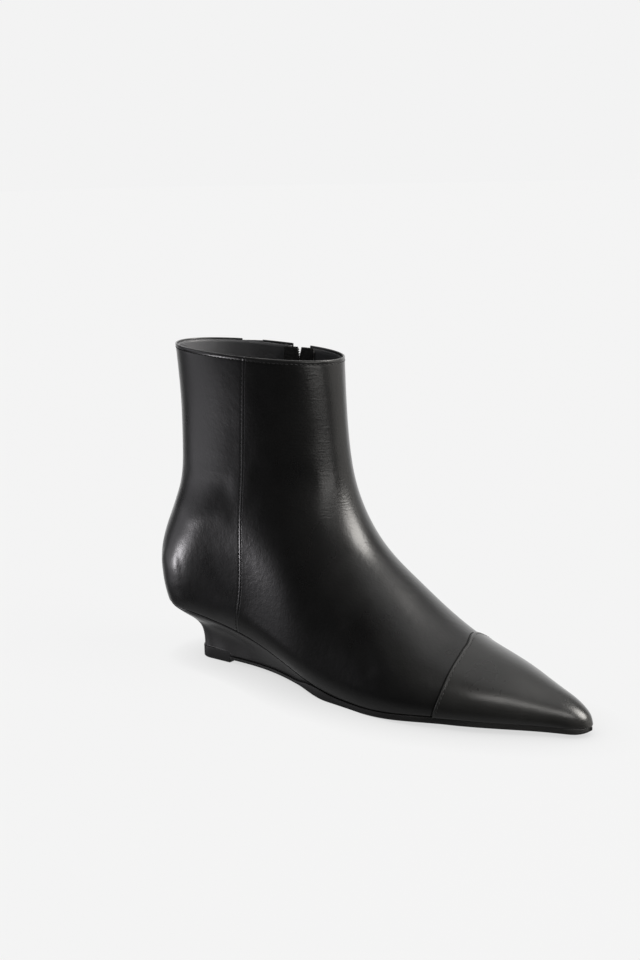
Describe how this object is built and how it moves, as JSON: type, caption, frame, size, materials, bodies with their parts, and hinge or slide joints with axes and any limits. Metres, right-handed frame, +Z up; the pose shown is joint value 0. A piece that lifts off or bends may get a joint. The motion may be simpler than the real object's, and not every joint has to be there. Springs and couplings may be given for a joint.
{
  "type": "wedge ankle boot",
  "caption": "Pointed-toe wedge ankle boot in smooth leather with toe cap, inside zip, elastic gore and a low covered wedge; right foot.",
  "frame": {"origin": "on the floor under the centre of the heel's top piece", "axes": "+X to the toe, +Y to the inner (medial) side, +Z up"},
  "size_m": [0.2822, 0.0759, 0.189],
  "materials": {
    "upper_leather": "satin smooth calf",
    "wedge_leather": "satin smooth calf",
    "sock_leather": "matt lining leather",
    "sole_rubber": "matt",
    "elastic": "ribbed matt",
    "zip_textile": "herringbone matt",
    "zip_coil": "satin",
    "black_metal": "semi gloss",
    "silver_metal": "satin"
  },
  "bodies": {
    "boot": {"upper": "upper_leather", "toe_cap": "upper_leather", "gore": "elastic", "insole": "sock_leather", "wedge": "wedge_leather", "outsole": "sole_rubber", "top_piece": "sole_rubber", "zip_tape_front": "zip_textile", "zip_tape_back": "zip_textile", "zip_chain": "zip_coil", "zip_slider": "black_metal", "zip_stop_front": "silver_metal", "zip_stop_back": "silver_metal"},
    "pull_tab": {"zip_pull": "black_metal"}
  },
  "joints": [
    {"name": "zip_pull_hinge", "type": "hinge", "parent": "boot", "child": "pull_tab", "pos_m": [0.03836, 0.03015, 0.17282], "axis": [1, 0, 0], "range_deg": [0, 160]}
  ]
}
